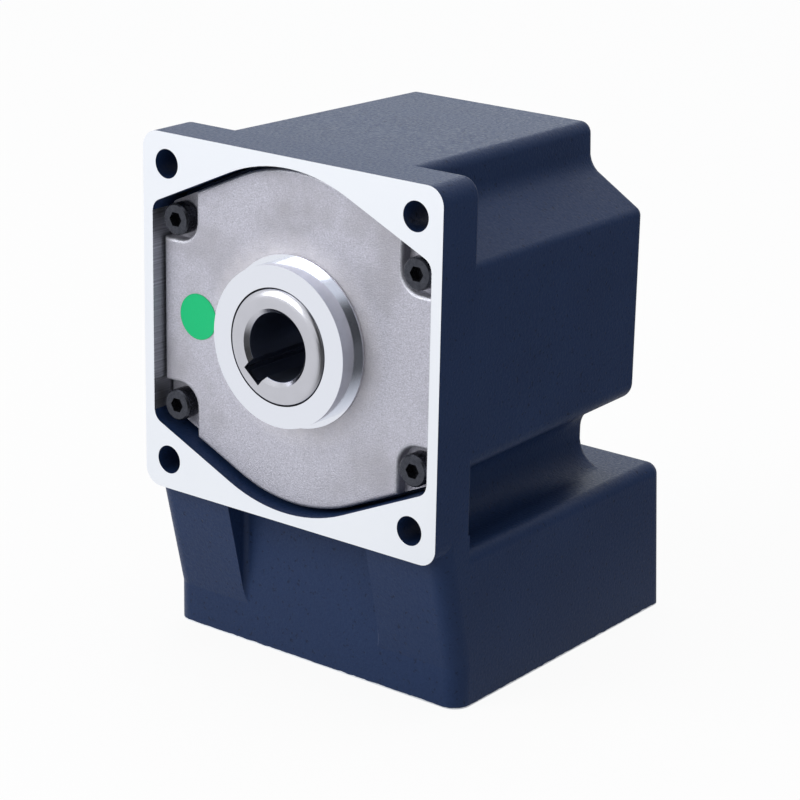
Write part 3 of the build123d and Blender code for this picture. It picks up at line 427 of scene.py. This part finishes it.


# The hollow output shaft is turned from steel bar and polished, so fine rings run round its face and
# its outside. Its bore and keyway are given a dark bluish colour, which is painted shade of the deep bore.
SILVER = (0.56, 0.565, 0.62, 1.0)
SILVER_DARK = (0.50, 0.505, 0.55, 1.0)
BORE_PAINTED_SHADE = (0.22, 0.25, 0.34, 1.0)
BORE_R, KEYWAY_R = 7.56, 9.9
KEYWAY_FRONT, KEYWAY_BACK = -2.7, 74.8

shaft = Skin("shaft_steel")
reach = shaft.reach(shaft.x, shaft.z)
rings = shaft.streaks(reach + shaft.y * 0.8, 2.6, 3.0)
# Inside the bore and keyway the colour is painted shade, dark and tinted blue as a painted sheen.
shaded_bore = (reach < BORE_R) | ((reach < KEYWAY_R) & (shaft.y > KEYWAY_FRONT) & (shaft.y < KEYWAY_BACK))
silver = shaft.blend(shaft.noise(0.2, 3.0), SILVER, SILVER_DARK)
shaft.surface(
    Base_Color=shaft.blend(shaded_bore, silver, BORE_PAINTED_SHADE),
    Metallic=1.0,
    Roughness=0.14 + rings * 0.14 + shaded_bore * 0.20,
    Normal=shaft.relief(rings * 2.2, 10),
)
shaft.dress("output_shaft")


# A spacer beside the bevel wheel and one on the countershaft keep the gears in their places. Both are
# plain sleeves, turned from steel bar, so fine rings run round them.
SLEEVE = (0.46, 0.46, 0.47, 1.0)
SLEEVE_PALE = (0.62, 0.62, 0.63, 1.0)

sleeve = Skin("turned_steel")
rings = sleeve.streaks(sleeve.reach(sleeve.x, sleeve.z) + sleeve.y, 6.0, 3.0)
sleeve.surface(
    Base_Color=sleeve.blend(rings, SLEEVE, SLEEVE_PALE),
    Metallic=1.0,
    Roughness=0.26 + rings * 0.12,
    Normal=sleeve.relief(rings * 0.5, 10),
)
sleeve.dress("wheel_spacer", "counter_spacer")


# The gears and their shafts are case-hardened steel. The teeth are ground, the bodies turned, and a
# thin film of oil darkens them unevenly. Ground keys hold the gears, as bright as the dowel pins.
OILY = (0.30, 0.29, 0.28, 1.0)
WIPED = (0.47, 0.47, 0.48, 1.0)

gear = Skin("gear_steel")
film = gear.noise(0.25, 4.0)
lay = gear.noise(2.0, 3.0, (1.0, 1.0, 6.0))
gear.surface(
    Base_Color=gear.blend(film, OILY, WIPED),
    Metallic=1.0,
    Roughness=0.20 + film * 0.16,
    Coat_Weight=film * 0.5,
    Coat_Roughness=0.08,
    Normal=gear.relief(lay, 4),
)
gear.dress("bevel_wheel", "pinion_shaft", "final_gear", "countershaft", "counter_gear")
pin.dress("wheel_key", "final_gear_key", "counter_gear_key")


# Two circlips hold the gears on their shafts. They are stamped from spring steel and blued.
# The garter springs of the oil seals are of the same wire.
BLUED = (0.06, 0.065, 0.085, 1.0)
BLUED_PALE = (0.13, 0.13, 0.14, 1.0)

spring = Skin("spring_steel")
blue = spring.noise(0.8, 3.0)
spring.surface(
    Base_Color=spring.blend(blue, BLUED, BLUED_PALE),
    Metallic=0.9,
    Roughness=0.3 + blue * 0.15,
    Normal=spring.relief(blue, 4),
)
spring.dress("pinion_circlip", "counter_circlip")


# The bearing plate closes the gear room towards the motor. It is turned from aluminium bar, so
# fine rings run round it, and its two bearing seats are bored.
BAR = (0.66, 0.67, 0.70, 1.0)
BAR_PALE = (0.80, 0.81, 0.84, 1.0)

plate = Skin("bare_aluminium")
rings = plate.streaks(plate.reach(plate.x, plate.y - MOTOR_Y), 5.0, 3.0)
plate.surface(
    Base_Color=plate.blend(rings, BAR, BAR_PALE),
    Metallic=1.0,
    Roughness=0.28 + rings * 0.12,
    Normal=plate.relief(rings * 0.6, 10),
)
plate.dress("bearing_plate")


# Ball bearings carry the output shaft, the pinion shaft and the countershaft. Their races and balls
# are polished bearing steel, the open ones have brass cages, and the small ones pressed steel shields.
LARGE = ("front_bearing", "rear_bearing")
SMALL = ("pinion_upper_bearing", "pinion_lower_bearing", "counter_upper_bearing", "counter_lower_bearing")
RACE = (0.66, 0.66, 0.67, 1.0)
RACE_PALE = (0.74, 0.74, 0.75, 1.0)
BALL = (0.72, 0.72, 0.73, 1.0)
BALL_PALE = (0.78, 0.78, 0.79, 1.0)
BRASS = (0.60, 0.39, 0.14, 1.0)
BRASS_PALE = (0.76, 0.55, 0.24, 1.0)
PRESSED = (0.50, 0.51, 0.53, 1.0)
PRESSED_PALE = (0.60, 0.61, 0.63, 1.0)

race = Skin("race_steel")
haze = race.noise(0.6, 3.0)
race.surface(
    Base_Color=race.blend(haze, RACE, RACE_PALE),
    Metallic=1.0,
    Roughness=0.10 + haze * 0.10,
    Normal=race.relief(race.noise(7.0, 2.0), 1),
)
race.dress(*[f"{bearing}_{ring}" for bearing in LARGE + SMALL for ring in ("outer", "inner")])

ball = Skin("ball_steel")
haze = ball.noise(0.9, 2.0)
ball.surface(
    Base_Color=ball.blend(haze, BALL, BALL_PALE),
    Metallic=1.0,
    Roughness=0.04 + haze * 0.05,
    Normal=ball.relief(haze, 0.5),
)
ball.dress(*[f"{bearing}_balls" for bearing in LARGE])

cage = Skin("cage_brass")
haze = cage.noise(1.0, 4.0)
cage.surface(
    Base_Color=cage.blend(haze, BRASS, BRASS_PALE),
    Metallic=1.0,
    Roughness=0.24 + haze * 0.18,
    Normal=cage.relief(haze, 3),
)
cage.dress(*[f"{bearing}_cage" for bearing in LARGE])

shield = Skin("shield_steel")
brushed = shield.noise(3.0, 3.0)
shield.surface(
    Base_Color=shield.blend(brushed, PRESSED, PRESSED_PALE),
    Metallic=1.0,
    Roughness=0.25 + brushed * 0.12,
    Normal=shield.relief(brushed, 2),
)
shield.dress(*[f"{bearing}_shields" for bearing in SMALL])


# Two oil seals run on the shaft. Each has a lacquered steel case, a moulded rubber lip and a
# garter spring that presses it on.
LACQUER = (0.020, 0.020, 0.022, 1.0)
LACQUER_PALE = (0.042, 0.042, 0.045, 1.0)
RUBBER = (0.012, 0.012, 0.013, 1.0)
RUBBER_BLOOM = (0.028, 0.028, 0.030, 1.0)

seal = Skin("seal_metal")
lacquer = seal.noise(1.4, 3.0)
seal.surface(
    Base_Color=seal.blend(lacquer, LACQUER, LACQUER_PALE),
    Metallic=0.3,
    Roughness=0.34 + lacquer * 0.15,
    Normal=seal.relief(lacquer, 6),
)
seal.dress("front_seal_case", "rear_seal_case")

rubber = Skin("seal_rubber")
bloom = rubber.noise(1.0, 4.0)
rubber.surface(
    Base_Color=rubber.blend(bloom, RUBBER, RUBBER_BLOOM),
    Roughness=0.55 + bloom * 0.2,
    Normal=rubber.relief(rubber.noise(3.0, 3.0), 8),
)
rubber.dress("front_seal_lip", "rear_seal_lip")
spring.dress("front_seal_spring", "rear_seal_spring")
